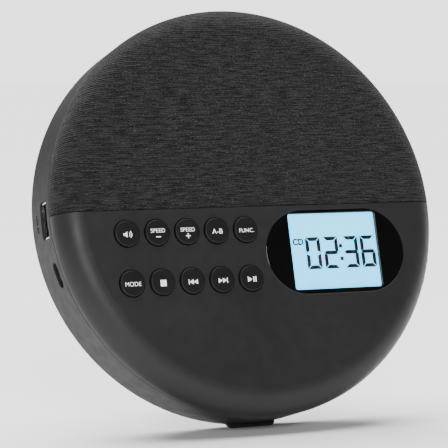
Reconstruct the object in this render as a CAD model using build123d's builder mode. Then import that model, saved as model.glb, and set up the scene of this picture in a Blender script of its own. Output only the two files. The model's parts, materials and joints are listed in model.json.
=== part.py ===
"""Portable cd player: a round cabinet that leans back on a rim foot and a fold-out stand.

Everything is drawn in the frame of the cabinet: X to the right across the face, Y up the face, Z out of
the face, with the face at z = 0 and the disc axis on x = y = 0. Each finished piece is then stood up: the
cabinet leans back by LEAN and the middle of the rim foot's contact face comes to the origin, +Z up.
Lengths are in millimetres and angles in degrees.
"""
from build123d import *
import math
import os

os.makedirs("parts", exist_ok=True)

# ---- Cabinet -------------------------------------------------------------------------------------
LEAN = 15.6                     # how far the face leans back from upright
BODY_R = 77.5                   # outer radius of the cabinet
SHOULDER_W = 10.0               # width of the rounded shoulder round the face
SHOULDER_D = 8.5                # depth of that shoulder; the side band starts here
WALL = 2.0
FABRIC_T = 1.0                  # cloth stretched over the upper half of the front
REAR_Z = -29.0                  # back of the cabinet
REAR_ROUND = 2.5
RING_FRONT_Z = -24.4            # front side of the rear ring
RING_R = 66.2                   # edge of the round disc bay
SHELL_R = BODY_R - WALL         # inner radius of the side band

# ---- Keys ----------------------------------------------------------------------------------------
KEY_R = 4.8
KEY_PITCH = 11.78
KEY_FIRST_X = -51.9
KEY_ROWS_Y = (-8.6, -26.8)
KEY_PROUD = 1.0
KEY_GAP = 0.3
KEY_STEPS = (                   # radius, lower end and length of the cap, its flange and its stem
    (KEY_R, -3.4, 3.4 + KEY_PROUD),
    (KEY_R + 0.9, -4.5, 1.1),
    (1.6, -5.4, 0.9),
)
KEY_NAMES = (
    ("key_wireless", "key_speed_down", "key_speed_up", "key_repeat", "key_function"),
    ("key_mode", "key_stop", "key_previous", "key_next", "key_play"),
)

# ---- Display -------------------------------------------------------------------------------------
LENS_X, LENS_Y = 31.6, -17.8
LENS_W, LENS_H = 57.6, 31.9
LENS_T = 1.6
LCD_W, LCD_H = 44.0, 32.0
WINDOW_W, WINDOW_H = 38.4, 30.0

# ---- Board and electronics -----------------------------------------------------------------------
BOARD_FRONT_Z = -10.0
BOARD_T = 1.4
BOARD_REAR_Z = BOARD_FRONT_Z - BOARD_T
BOARD_R = 68.0
BOARD_TOP_Y = 8.0
BOARD_SCREWS = ((-61.5, -17.7), (-30.0, -50.0), (40.0, -52.0), (62.5, 2.0))
CASE_SCREW_R = 72.2
CASE_SCREW_ANGLES = (62, 118, 228, 312)
USB_A_ANGLE, USB_A_Z = 180.0, -14.4
USB_A_W, USB_A_H, USB_A_DEEP = 13.1, 5.7, 14.0
USB_C_ANGLE, USB_C_Z = 195.3, -13.1
USB_C_W, USB_C_H, USB_C_DEEP = 8.94, 3.26, 7.4
JACK_ANGLE, JACK_Z = 12.0, -14.2
JACK_BORE_R = 1.8
JACK_DEEP = 14.0
ROCKER_ANGLE, ROCKER_Z = -10.5, -12.6
POWER_ANGLE, POWER_Z = -21.0, -12.6
POWER_TRAVEL = 2.6

# ---- Speakers ------------------------------------------------------------------------------------
SPEAKER_X, SPEAKER_Y = 33.0, 34.0
SPEAKER_R = 20.5
SPEAKER_FRONT_Z = -3.0

# ---- Disc bay and drive --------------------------------------------------------------------------
DECK_FRONT_Z, DECK_REAR_Z = -19.4, -20.9
DECK_R = 67.8
DISC_SEAT_Z = -22.4             # where the disc rests on the turntable
DISC_HOLE_PIN_R = 7.45          # centres the 15 mm hole of a standard disc
CHASSIS_FRONT_Z, CHASSIS_REAR_Z = -17.0, -18.4
CHASSIS_X = 31.0
DAMPERS = ((27.0, 11.0), (-27.0, 11.0), (27.0, -56.0), (-27.0, -56.0))
SHAFT_R = 1.0
RUNNING_GAP = 0.05
ROD_X, ROD_Z, ROD_R = 17.0, -15.25, 1.0
LENS_REST_Y = -24.0             # pickup lens at the start of the disc's track
SLED_TRAVEL = 32.0
MODULE = 0.6
GEAR_SMALL_TEETH, GEAR_LARGE_TEETH, PINION_TEETH = 14, 36, 10
RACK_X = 21.0                   # pitch line of the sled's rack
GEAR_Y = -34.0
GEAR_X = RACK_X + MODULE * GEAR_SMALL_TEETH / 2
FEED_MOTOR_X = GEAR_X + MODULE * (GEAR_LARGE_TEETH + PINION_TEETH) / 2
LOW_GEAR_Z, LOW_GEAR_T = -14.2, 2.4
HIGH_GEAR_Z, HIGH_GEAR_T = -12.2, 1.2

# ---- Lid -----------------------------------------------------------------------------------------
LID_R = 65.8
LID_FRONT_Z = -27.0
HINGE_Y, HINGE_Z, HINGE_R = 70.0, -27.0, 1.8
HINGE_PIN_R = 0.8
HINGE_HALF_W = 15.0
HINGE_MID_HALF_W = 7.6
LATCH_Y = -53.5
LATCH_TRAVEL = 2.5

# ---- Stand and feet ------------------------------------------------------------------------------
STAND_W = 4.6                   # width of the stand's bar
STAND_TOP_HALF_W = 22.0         # from the middle to the outside of a leg, at the pivots
STAND_FOOT_HALF_W = 10.0        # the same at the foot
STAND_FRONT_Z, STAND_REAR_Z = -26.3, -28.8
RECESS_Z = -26.0                # floor of the recess that the stand folds into
RECESS_GAP = 0.5
LID_POCKET_Z = -24.9            # front side of the lid where it is thickened round the recess
PIVOT_Y, PIVOT_Z, PIVOT_R = 40.0, -27.3, 1.5
PIVOT_PIN_R = 0.75
PIVOT_PIN_LENGTH = 10.0
FOOT_Y, FOOT_Z = -78.5, -25.6   # middle of the rim foot's contact face
FOOT_HALF_W = 9.5
FOOT_HALF_D = 1.7
FOOT_END_CHAMFER = 1.2
STAND_REACH = 114.5             # from the stand's pivot to the middle of its pad's contact face
PAD_HALF_W = 8.0

lean_sin = math.sin(math.radians(LEAN))
lean_cos = math.cos(math.radians(LEAN))
foot_row_y = FOOT_Y * lean_sin - FOOT_Z * lean_cos
foot_row_z = FOOT_Y * lean_cos + FOOT_Z * lean_sin
standing = Location((0, -foot_row_y, -foot_row_z), (90 - LEAN, 0, 0))
pivot_height = PIVOT_Y * lean_cos + PIVOT_Z * lean_sin - foot_row_z
STAND_SPLAY = math.degrees(math.acos(pivot_height / STAND_REACH))  # stand's slope to the upright
STAND_OPEN = LEAN + STAND_SPLAY  # how far the stand swings out of the rear ring


def save(part, name):
    """Stand a finished piece up and write it as its own STEP file."""
    piece = part.moved(standing)
    piece.label = name
    export_step(piece, f"parts/{name}.step")


def radial_plane(angle):
    """Upright plane through the disc axis: x runs outwards at the angle, y runs along +Z."""
    a = math.radians(angle)
    return Plane((0, 0, 0), x_dir=(math.cos(a), math.sin(a), 0), z_dir=(math.sin(a), -math.cos(a), 0))


def rim_plane(angle, radius, z):
    """Plane that faces outwards at the rim: x runs along the rim, y runs along +Z."""
    a = math.radians(angle)
    origin = (radius * math.cos(a), radius * math.sin(a), z)
    return Plane(origin, x_dir=(-math.sin(a), math.cos(a), 0), z_dir=(math.cos(a), math.sin(a), 0))


def on_circle(radius, angles):
    """Points on a circle round the disc axis."""
    return [(radius * math.cos(math.radians(a)), radius * math.sin(math.radians(a))) for a in angles]


def front_profile(inset):
    """Half section of the front, set back evenly by the inset: flat face, shoulder and short rim."""
    with BuildSketch(Plane.XZ) as profile:
        with BuildLine():
            Line((0, -inset), (BODY_R - SHOULDER_W, -inset))
            EllipticalCenterArc(
                (BODY_R - SHOULDER_W, -SHOULDER_D), SHOULDER_W - inset, SHOULDER_D - inset,
                start_angle=0, arc_size=90,
            )
            Line((BODY_R - inset, -SHOULDER_D), (0, -SHOULDER_D))
            Line((0, -SHOULDER_D), (0, -inset))
        make_face()
    return profile.sketch


def gear_sketch(plane, teeth, phase, bore):
    """Spur gear with slim straight-flanked teeth, the first one at the phase angle."""
    pitch_r = MODULE * teeth / 2
    root_r = pitch_r - 1.15 * MODULE
    tip_r = pitch_r + 0.8 * MODULE
    tooth_pitch = math.pi * MODULE
    root_half = 0.26 * tooth_pitch
    tip_half = 0.11 * tooth_pitch
    with BuildSketch(plane) as sketch:
        Circle(root_r)
        with PolarLocations(0, teeth, start_angle=phase):
            with BuildLine():
                Polyline(
                    (root_r - 0.3, -root_half), (tip_r, -tip_half), (tip_r, tip_half),
                    (root_r - 0.3, root_half), close=True,
                )
            make_face()
        Circle(bore, mode=Mode.SUBTRACT)
    return sketch.sketch


def stand_outline(plane, grow):
    """Outline of the folded stand's U on a plane, from its pivots down to its foot, grown by a margin."""
    foot_y = PIVOT_Y - STAND_REACH + 1.4
    top_y = PIVOT_Y + PIVOT_R
    with BuildSketch(plane) as outline:
        with BuildLine():
            Polyline(
                (-STAND_TOP_HALF_W, top_y), (-STAND_FOOT_HALF_W, foot_y), (STAND_FOOT_HALF_W, foot_y),
                (STAND_TOP_HALF_W, top_y), close=True,
            )
        make_face()
        fillet(outline.vertices().sort_by(Axis.Y)[:2], 4.0)
        with BuildLine():
            inner_foot = foot_y + STAND_W + 1.0
            Polyline(
                (-STAND_TOP_HALF_W + STAND_W, top_y + 1), (-STAND_FOOT_HALF_W + STAND_W, inner_foot),
                (STAND_FOOT_HALF_W - STAND_W, inner_foot), (STAND_TOP_HALF_W - STAND_W, top_y + 1), close=True,
            )
        make_face(mode=Mode.SUBTRACT)
        if grow:
            offset(amount=grow, kind=Kind.INTERSECTION)
    return outline.sketch


key_centres = {
    name: (KEY_FIRST_X + KEY_PITCH * column, KEY_ROWS_Y[row])
    for row, names in enumerate(KEY_NAMES)
    for column, name in enumerate(names)
}
power_mid_angle = POWER_ANGLE - math.degrees(POWER_TRAVEL / 2 / BODY_R)
case_screw_points = on_circle(CASE_SCREW_R, CASE_SCREW_ANGLES)
speaker_sides = {"left": -SPEAKER_X, "right": SPEAKER_X}

# ---- Front shell and the cloth over its upper half -----------------------------------------------
with BuildPart() as speaker_fabric:
    revolve(front_profile(0), axis=Axis.Z)
    revolve(front_profile(FABRIC_T), axis=Axis.Z, mode=Mode.SUBTRACT)
    split(bisect_by=Plane.XZ, keep=Keep.BOTTOM)

with BuildPart() as front_shell:
    revolve(front_profile(0), axis=Axis.Z)
    add(speaker_fabric.part, mode=Mode.SUBTRACT)
    revolve(front_profile(WALL + FABRIC_T), axis=Axis.Z, mode=Mode.SUBTRACT)
    with BuildSketch(Plane.XY):
        with Locations((LENS_X, LENS_Y)):
            SlotOverall(LENS_W, LENS_H)
    extrude(amount=-LENS_T, mode=Mode.SUBTRACT)
    with BuildSketch(Plane.XY):
        with Locations((LENS_X, LENS_Y)):
            RectangleRounded(WINDOW_W, WINDOW_H, 1.5)
        with Locations(*key_centres.values()):
            Circle(KEY_R + KEY_GAP)
    extrude(amount=-SHOULDER_D, mode=Mode.SUBTRACT)
    with BuildSketch(Plane.XY.offset(-FABRIC_T)):
        for x in speaker_sides.values():
            with Locations((x, SPEAKER_Y)):
                with GridLocations(0, 5.2, 1, 7):
                    SlotOverall(30, 2.4)
    extrude(amount=-WALL - FABRIC_T, mode=Mode.SUBTRACT)
    with BuildSketch(Plane.XY.offset(-5.5)):
        with Locations(*case_screw_points):
            Circle(3.0)
    extrude(amount=-6.4)
    with BuildSketch(Plane.XY.offset(-WALL - FABRIC_T + 0.5)):
        with Locations(*BOARD_SCREWS):
            Circle(2.6)
    extrude(amount=BOARD_FRONT_Z + WALL + FABRIC_T - 0.5)
    with BuildSketch(Plane.XY.offset(-6.4)):
        with Locations(*case_screw_points):
            Circle(1.25)
    extrude(amount=-6, mode=Mode.SUBTRACT)
    with BuildSketch(Plane.XY.offset(-WALL - FABRIC_T - 0.5)):
        with Locations(*BOARD_SCREWS):
            Circle(1.0)
    extrude(amount=-7, mode=Mode.SUBTRACT)
save(speaker_fabric.part, "speaker_fabric")
save(front_shell.part, "front_shell")

# ---- Rear housing: side band and rear ring -------------------------------------------------------
with BuildPart() as rim_foot:
    slope = -lean_sin / lean_cos
    front_z, rear_z = FOOT_Z + FOOT_HALF_D, FOOT_Z - FOOT_HALF_D
    with BuildSketch(Plane.YZ.offset(-FOOT_HALF_W)):
        with BuildLine():
            Polyline(
                (-SHELL_R - 0.6, front_z), (FOOT_Y + slope * FOOT_HALF_D, front_z),
                (FOOT_Y - slope * FOOT_HALF_D, rear_z), (-SHELL_R - 0.6, rear_z), close=True,
            )
        make_face()
    extrude(amount=2 * FOOT_HALF_W)
    contact_edges = rim_foot.faces().sort_by(Axis.Y)[0].edges()
    chamfer(contact_edges.filter_by(Axis.X, reverse=True), FOOT_END_CHAMFER)
    fillet(rim_foot.edges().filter_by(Axis.X).sort_by(Axis.Y)[:2], 0.4)

with BuildPart() as rear_housing:
    with BuildSketch(Plane.XZ):
        with BuildLine():
            Polyline(
                (BODY_R - REAR_ROUND, REAR_Z), (RING_R, REAR_Z), (RING_R, RING_FRONT_Z),
                (SHELL_R, RING_FRONT_Z), (SHELL_R, -SHOULDER_D), (BODY_R - 0.5, -SHOULDER_D),
                (BODY_R, -SHOULDER_D - 0.5), (BODY_R, REAR_Z + REAR_ROUND),
            )
            RadiusArc((BODY_R, REAR_Z + REAR_ROUND), (BODY_R - REAR_ROUND, REAR_Z), REAR_ROUND)
        make_face()
    revolve(axis=Axis.Z)
    # Bosses for the case screws, and the thick seat under the lid's hinge.
    with BuildSketch(Plane.XY.offset(RING_FRONT_Z)):
        with Locations(*case_screw_points):
            Circle(3.0)
    extrude(amount=-RING_FRONT_Z - 12.2)
    with BuildSketch(Plane.XY.offset(RING_FRONT_Z)):
        with Locations((0, 71.9)):
            Rectangle(36, 7.2)
    extrude(amount=1.6)
    # Recess in the ring for the foot of the folded stand.
    with BuildSketch(Plane.XY.offset(REAR_Z)):
        Circle(SHELL_R)
        with Locations((0, -60)):
            Rectangle(2 * STAND_FOOT_HALF_W + 4, 36, mode=Mode.INTERSECT)
        Circle(RING_R - 1, mode=Mode.SUBTRACT)
    extrude(amount=RECESS_Z - REAR_Z, mode=Mode.SUBTRACT)
    # Notch for the lid's hinge, with the middle knuckle left standing in it.
    with BuildSketch(Plane.XY.offset(REAR_Z)):
        with Locations((0, 68.6)):
            Rectangle(2 * HINGE_HALF_W + 0.8, 9.2)
    extrude(amount=4.1, mode=Mode.SUBTRACT)
    with BuildSketch(Plane.YZ.offset(-HINGE_MID_HALF_W)):
        with Locations((HINGE_Y, HINGE_Z)):
            Circle(HINGE_R)
        with Locations((HINGE_Y + 1.2, HINGE_Z + 1.3)):
            Rectangle(4.4, 2.6)
    extrude(amount=2 * HINGE_MID_HALF_W)
    with BuildSketch(Plane.YZ.offset(-HINGE_HALF_W - 2)):
        with Locations((HINGE_Y, HINGE_Z)):
            Circle(HINGE_PIN_R)
    extrude(amount=2 * HINGE_HALF_W + 4, mode=Mode.SUBTRACT)
    # Holes for the case screws, counterbored from behind.
    with BuildSketch(Plane.XY.offset(REAR_Z)):
        with Locations(*case_screw_points):
            Circle(2.6)
    extrude(amount=4.4, mode=Mode.SUBTRACT)
    with BuildSketch(Plane.XY.offset(REAR_Z)):
        with Locations(*case_screw_points):
            Circle(1.5)
    extrude(amount=17, mode=Mode.SUBTRACT)
    # Ports on the left, audio jack, rocker and power knob on the right.
    with BuildSketch(rim_plane(USB_A_ANGLE, SHELL_R - 2, USB_A_Z)):
        RectangleRounded(USB_A_W + 0.6, USB_A_H + 0.6, 0.6)
    extrude(amount=6, mode=Mode.SUBTRACT)
    with BuildSketch(rim_plane(USB_C_ANGLE, SHELL_R - 2, USB_C_Z)):
        SlotOverall(USB_C_W + 0.6, USB_C_H + 0.6)
    extrude(amount=6, mode=Mode.SUBTRACT)
    with BuildSketch(rim_plane(JACK_ANGLE, SHELL_R - 2, JACK_Z)):
        Circle(3.0)
    extrude(amount=6, mode=Mode.SUBTRACT)
    with BuildSketch(rim_plane(ROCKER_ANGLE, SHELL_R - 3, ROCKER_Z)):
        RectangleRounded(17.8, 6.8, 1.2)
    extrude(amount=8, mode=Mode.SUBTRACT)
    with BuildSketch(rim_plane(power_mid_angle, SHELL_R - 3, POWER_Z)):
        RectangleRounded(4 + POWER_TRAVEL + 0.8, 4.8, 1.0)
    extrude(amount=8, mode=Mode.SUBTRACT)
    add(rim_foot.part, mode=Mode.SUBTRACT)
save(rear_housing.part, "rear_housing")
save(rim_foot.part, "rim_foot")

# ---- Keys and their switches ---------------------------------------------------------------------
for key_name, (key_x, key_y) in key_centres.items():
    with BuildPart() as key:
        for step_r, step_z, step_t in KEY_STEPS:
            with BuildSketch(Plane((key_x, key_y, step_z))):
                Circle(step_r)
            extrude(amount=step_t)
        fillet(key.faces().sort_by(Axis.Z)[-1].edges(), 0.6)
    save(key.part, key_name)

with BuildPart() as key_switches:
    with BuildSketch(Plane.XY.offset(BOARD_FRONT_Z)):
        with Locations(*key_centres.values()):
            RectangleRounded(6, 6, 0.6)
    extrude(amount=3.2)
    with BuildSketch(Plane.XY.offset(BOARD_FRONT_Z + 3.2)):
        with Locations(*key_centres.values()):
            Circle(1.6)
    extrude(amount=0.6)
save(key_switches.part, "key_switches")

# ---- Display -------------------------------------------------------------------------------------
with BuildPart() as display_lens:
    with BuildSketch(Plane.XY.offset(-LENS_T)):
        with Locations((LENS_X, LENS_Y)):
            SlotOverall(LENS_W - 0.2, LENS_H - 0.2)
    extrude(amount=LENS_T)
    fillet(display_lens.faces().sort_by(Axis.Z)[-1].edges(), 0.25)
save(display_lens.part, "display_lens")

with BuildPart() as lcd_panel:
    with BuildSketch(Plane.XY.offset(-WALL - FABRIC_T - 2.6)):
        with Locations((LENS_X, LENS_Y)):
            Rectangle(LCD_W, LCD_H)
    extrude(amount=2.4)
save(lcd_panel.part, "lcd_panel")

with BuildPart() as lcd_backlight:
    with BuildSketch(Plane.XY.offset(BOARD_FRONT_Z)):
        with Locations((LENS_X, LENS_Y)):
            Rectangle(LCD_W + 3, LCD_H + 1.4)
    extrude(amount=4.2)
    chamfer(lcd_backlight.edges().filter_by(Axis.Z), 1.5)
save(lcd_backlight.part, "lcd_backlight")

# ---- Main board and what is soldered to it -------------------------------------------------------
with BuildPart() as main_board:
    with BuildSketch(Plane.XY.offset(BOARD_REAR_Z)):
        Circle(BOARD_R)
        with Locations((0, BOARD_TOP_Y)):
            Rectangle(2 * BODY_R, BODY_R, align=(Align.CENTER, Align.MIN), mode=Mode.SUBTRACT)
        with BuildLine():
            Polyline((57, 7), (57, 21), (64, 21), (67.2, 7), close=True)
        make_face()
        with Locations(*BOARD_SCREWS):
            Circle(1.3, mode=Mode.SUBTRACT)
    extrude(amount=BOARD_T)
save(main_board.part, "main_board")

with BuildPart() as board_screws:
    with BuildSketch(Plane.XY.offset(BOARD_REAR_Z)):
        with Locations(*BOARD_SCREWS):
            Circle(2.3)
    extrude(amount=-1.4)
    with BuildSketch(Plane.XY.offset(BOARD_REAR_Z)):
        with Locations(*BOARD_SCREWS):
            Circle(1.0)
    extrude(amount=6)
save(board_screws.part, "board_screws")

with BuildPart() as case_screws:
    with BuildSketch(Plane.XY.offset(-26.0)):
        with Locations(*case_screw_points):
            Circle(2.2)
    extrude(amount=1.4)
    with BuildSketch(Plane.XY.offset(-24.6)):
        with Locations(*case_screw_points):
            Circle(1.25)
    extrude(amount=18)
    with BuildSketch(Plane.XY.offset(-26.0)):
        with Locations(*case_screw_points):
            Rectangle(2.8, 0.6)
            Rectangle(0.6, 2.8)
    extrude(amount=0.8, mode=Mode.SUBTRACT)
save(case_screws.part, "case_screws")

with BuildPart() as usb_a_socket:
    socket_face = rim_plane(USB_A_ANGLE, SHELL_R + 1.2, USB_A_Z)
    with BuildSketch(socket_face):
        RectangleRounded(USB_A_W, USB_A_H, 0.5)
    extrude(amount=-USB_A_DEEP)
    with BuildSketch(socket_face):
        RectangleRounded(USB_A_W - 0.7, USB_A_H - 0.7, 0.3)
    extrude(amount=-USB_A_DEEP + 1, mode=Mode.SUBTRACT)
    with BuildSketch(socket_face.offset(-1.2)):
        with Locations((0, 0.9)):
            Rectangle(11.1, 1.84)
    extrude(amount=-USB_A_DEEP + 2)
save(usb_a_socket.part, "usb_a_socket")

with BuildPart() as usb_c_socket:
    socket_face = rim_plane(USB_C_ANGLE, SHELL_R + 1.0, USB_C_Z)
    with BuildSketch(socket_face):
        SlotOverall(USB_C_W, USB_C_H)
    extrude(amount=-USB_C_DEEP)
    with BuildSketch(socket_face):
        SlotOverall(USB_C_W - 0.6, USB_C_H - 0.6)
    extrude(amount=-USB_C_DEEP + 1, mode=Mode.SUBTRACT)
    with BuildSketch(socket_face.offset(-1.0)):
        Rectangle(6.7, 0.7)
    extrude(amount=-USB_C_DEEP + 1.5)
save(usb_c_socket.part, "usb_c_socket")

with BuildPart() as audio_jack:
    jack_face = rim_plane(JACK_ANGLE, SHELL_R - 0.4, JACK_Z)
    with BuildSketch(jack_face):
        Rectangle(6.4, 5.2)
    extrude(amount=-JACK_DEEP - 1.5)
    with BuildSketch(jack_face):
        Circle(2.7)
    extrude(amount=1.9)
    with BuildSketch(jack_face.offset(1.9)):
        Circle(JACK_BORE_R)
    extrude(amount=-JACK_DEEP, mode=Mode.SUBTRACT)
save(audio_jack.part, "audio_jack")

# ---- Side controls -------------------------------------------------------------------------------
with BuildPart() as volume_rocker:
    with BuildSketch(rim_plane(ROCKER_ANGLE, 73.4, ROCKER_Z)):
        RectangleRounded(18.8, 7.6, 1.0)
    extrude(amount=1.2)
    with BuildSketch(rim_plane(ROCKER_ANGLE, 74.0, ROCKER_Z)):
        RectangleRounded(16.6, 5.8, 1.2)
    extrude(amount=5.1)
    fillet(volume_rocker.faces().sort_by(Axis.X)[-1].edges(), 0.6)
save(volume_rocker.part, "volume_rocker")

with BuildPart() as power_knob:
    with BuildSketch(rim_plane(POWER_ANGLE, 73.6, POWER_Z)):
        RectangleRounded(6.4, 6.4, 0.8)
    extrude(amount=1.0)
    with BuildSketch(rim_plane(POWER_ANGLE, 74.0, POWER_Z)):
        RectangleRounded(4.0, 4.0, 0.8)
    extrude(amount=5.4)
save(power_knob.part, "power_knob")

with BuildPart() as side_switches:
    for angle in (ROCKER_ANGLE - 4.5, ROCKER_ANGLE + 4.5):
        with BuildSketch(rim_plane(angle, 68.2, BOARD_REAR_Z - 2)):
            Rectangle(5.0, 4.0)
        extrude(amount=3.6)
        with BuildSketch(rim_plane(angle, 71.8, BOARD_REAR_Z - 2)):
            Circle(1.2)
        extrude(amount=0.6)
    with BuildSketch(rim_plane(POWER_ANGLE - 2.4, 68.4, BOARD_REAR_Z - 2.2)):
        Rectangle(6.0, 4.4)
    extrude(amount=4.2)
save(side_switches.part, "side_switches")

with BuildPart() as battery:
    with BuildSketch(Plane.XY.offset(-18.8)):
        with Locations((-47, -24)):
            RectangleRounded(28, 32, 2.0)
    extrude(amount=5.8)
    fillet(battery.faces().filter_by(Axis.Z).edges(), 1.6)
save(battery.part, "battery")

# ---- Speakers ------------------------------------------------------------------------------------
for side_name, speaker_x in speaker_sides.items():
    speaker_origin = (speaker_x, SPEAKER_Y, SPEAKER_FRONT_Z)
    speaker_plane = Plane(speaker_origin, x_dir=(1, 0, 0), z_dir=(0, -1, 0))
    speaker_axis = Axis(speaker_origin, (0, 0, 1))
    with BuildPart() as speaker_frame:
        with BuildSketch(speaker_plane):
            with BuildLine():
                Polyline(
                    (SPEAKER_R - 3.5, 0), (SPEAKER_R, 0), (SPEAKER_R, -1.2), (SPEAKER_R - 2.5, -1.2),
                    (14, -7.5), (14, -8.5), (5.5, -8.5), (5.5, -7.3), (12.8, -7.3),
                    (SPEAKER_R - 3.5, -0.9), close=True,
                )
            make_face()
        revolve(axis=speaker_axis)
    save(speaker_frame.part, f"speaker_frame_{side_name}")
    with BuildPart() as speaker_cone:
        with BuildSketch(speaker_plane):
            with BuildLine():
                Polyline(
                    (0, -3.2), (3.4, -3.8), (4.4, -6.0), (SPEAKER_R - 5.2, -1.5),
                    (SPEAKER_R - 4.0, -0.6), (SPEAKER_R - 5.6, -0.5), (5.0, -4.8), (4.2, -2.9), (0, -2.4),
                    close=True,
                )
            make_face()
        revolve(axis=speaker_axis)
    save(speaker_cone.part, f"speaker_cone_{side_name}")
    with BuildPart() as speaker_magnet:
        with BuildSketch(Plane(speaker_origin, z_dir=(0, 0, 1)).offset(-14.0)):
            Circle(13)
        extrude(amount=5.5)
        fillet(speaker_magnet.faces().filter_by(Axis.Z).edges(), 0.8)
    save(speaker_magnet.part, f"speaker_magnet_{side_name}")

# ---- Disc deck -----------------------------------------------------------------------------------
with BuildPart() as disc_deck:
    with BuildSketch(Plane.XY.offset(DECK_REAR_Z)):
        Circle(DECK_R)
    extrude(amount=DECK_FRONT_Z - DECK_REAR_Z)
    with BuildSketch(Plane.XY.offset(RING_FRONT_Z)):
        Circle(DECK_R)
        Circle(RING_R, mode=Mode.SUBTRACT)
    extrude(amount=DECK_REAR_Z - RING_FRONT_Z)
    with BuildSketch(Plane.XY.offset(DECK_REAR_Z)):
        Circle(14.5)
        with Locations((0, -38.5)):
            RectangleRounded(17, 52, 3)
        with Locations(*DAMPERS):
            Circle(SHAFT_R)
    extrude(amount=2, mode=Mode.SUBTRACT)
save(disc_deck.part, "disc_deck")

# ---- Drive: chassis, dampers, rods, motors, gears, sled ------------------------------------------
with BuildPart() as drive_chassis:
    with BuildSketch(Plane.XY.offset(CHASSIS_REAR_Z)):
        with Locations((0, -23)):
            RectangleRounded(2 * CHASSIS_X, 78, 3)
        with Locations((0, -65)):
            Rectangle(44, 11)
        with Locations((39, -34)):
            RectangleRounded(17, 18, 3)
        with Locations((0, -40.2)):
            RectangleRounded(29, 54.6, 2, mode=Mode.SUBTRACT)
        Circle(4.8, mode=Mode.SUBTRACT)
        with Locations(*DAMPERS):
            Circle(3.0, mode=Mode.SUBTRACT)
        with Locations((FEED_MOTOR_X, GEAR_Y)):
            Circle(6.6, mode=Mode.SUBTRACT)
    extrude(amount=CHASSIS_FRONT_Z - CHASSIS_REAR_Z)
    with BuildSketch(Plane.XY.offset(CHASSIS_FRONT_Z)):
        for x in (-ROD_X, ROD_X):
            for y in (-10.5, -69.0):
                with Locations((x, y)):
                    Rectangle(3.6, 2.6)
    extrude(amount=3.4)
    with BuildSketch(Plane.XZ.offset(9.0)):
        for x in (-ROD_X, ROD_X):
            with Locations((x, ROD_Z)):
                Circle(ROD_R)
    extrude(amount=61.5, mode=Mode.SUBTRACT)
    with BuildSketch(Plane.XY.offset(CHASSIS_FRONT_Z)):
        with Locations((GEAR_X, GEAR_Y)):
            Circle(2.4)
    extrude(amount=0.3)
    with BuildSketch(Plane.XY.offset(CHASSIS_FRONT_Z)):
        with Locations((GEAR_X, GEAR_Y)):
            Circle(SHAFT_R)
    extrude(amount=5.4)
save(drive_chassis.part, "drive_chassis")

with BuildPart() as chassis_dampers:
    with BuildSketch(Plane.XY.offset(DECK_FRONT_Z)):
        with Locations(*DAMPERS):
            Circle(3.0)
    extrude(amount=3.8)
    for flange_z, flange_t in ((DECK_FRONT_Z, 1.0), (CHASSIS_FRONT_Z, 1.4)):
        with BuildSketch(Plane.XY.offset(flange_z)):
            with Locations(*DAMPERS):
                Circle(3.9)
        extrude(amount=flange_t)
    with BuildSketch(Plane.XY.offset(DECK_FRONT_Z)):
        with Locations(*DAMPERS):
            Circle(SHAFT_R)
    extrude(amount=4, mode=Mode.SUBTRACT)
save(chassis_dampers.part, "chassis_dampers")

with BuildPart() as chassis_screws:
    with BuildSketch(Plane.XY.offset(CHASSIS_FRONT_Z + 1.4)):
        with Locations(*DAMPERS):
            Circle(3.2)
    extrude(amount=1.0)
    with BuildSketch(Plane.XY.offset(CHASSIS_FRONT_Z + 1.4)):
        with Locations(*DAMPERS):
            Circle(SHAFT_R)
    extrude(amount=-4.8)
save(chassis_screws.part, "chassis_screws")

with BuildPart() as guide_rods:
    with BuildSketch(Plane.XZ.offset(9.2)):
        for x in (-ROD_X, ROD_X):
            with Locations((x, ROD_Z)):
                Circle(ROD_R)
    extrude(amount=61.1)
save(guide_rods.part, "guide_rods")

with BuildPart() as spindle_motor:
    with BuildSketch(Plane.XY.offset(CHASSIS_FRONT_Z)):
        Circle(9.0)
    extrude(amount=4.4)
    fillet(spindle_motor.faces().sort_by(Axis.Z)[-1].edges(), 0.8)
    with BuildSketch(Plane.XY.offset(CHASSIS_FRONT_Z)):
        Circle(SHAFT_R + RUNNING_GAP)
    extrude(amount=3.6, mode=Mode.SUBTRACT)
save(spindle_motor.part, "spindle_motor")

with BuildPart() as hub_balls:
    with Locations(*[(x, y, DISC_SEAT_Z - 1.3) for x, y in on_circle(DISC_HOLE_PIN_R - 1.2, (90, 210, 330))]):
        Sphere(1.0)

with BuildPart() as turntable_hub:
    with BuildSketch(Plane.XZ):
        with BuildLine():
            Polyline(
                (0, -13.6), (SHAFT_R, -13.6), (SHAFT_R, -18.8), (4.0, -18.8), (4.0, -21.2), (13.0, -21.2),
                (13.0, DISC_SEAT_Z), (DISC_HOLE_PIN_R, DISC_SEAT_Z), (DISC_HOLE_PIN_R, -24.8),
                (6.4, -25.8), (0, -25.8), close=True,
            )
        make_face()
    revolve(axis=Axis.Z)
    add(hub_balls.part, mode=Mode.SUBTRACT)
save(turntable_hub.part, "turntable_hub")
save(hub_balls.part, "hub_balls")

with BuildPart() as feed_motor:
    with BuildSketch(Plane.XY.offset(-19.0)):
        with Locations((FEED_MOTOR_X, GEAR_Y)):
            Circle(6.4)
    extrude(amount=5.0)
    with BuildSketch(Plane.XY.offset(-14.0)):
        with Locations((FEED_MOTOR_X, GEAR_Y)):
            Circle(SHAFT_R)
    extrude(amount=2.0)
save(feed_motor.part, "feed_motor")

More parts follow.
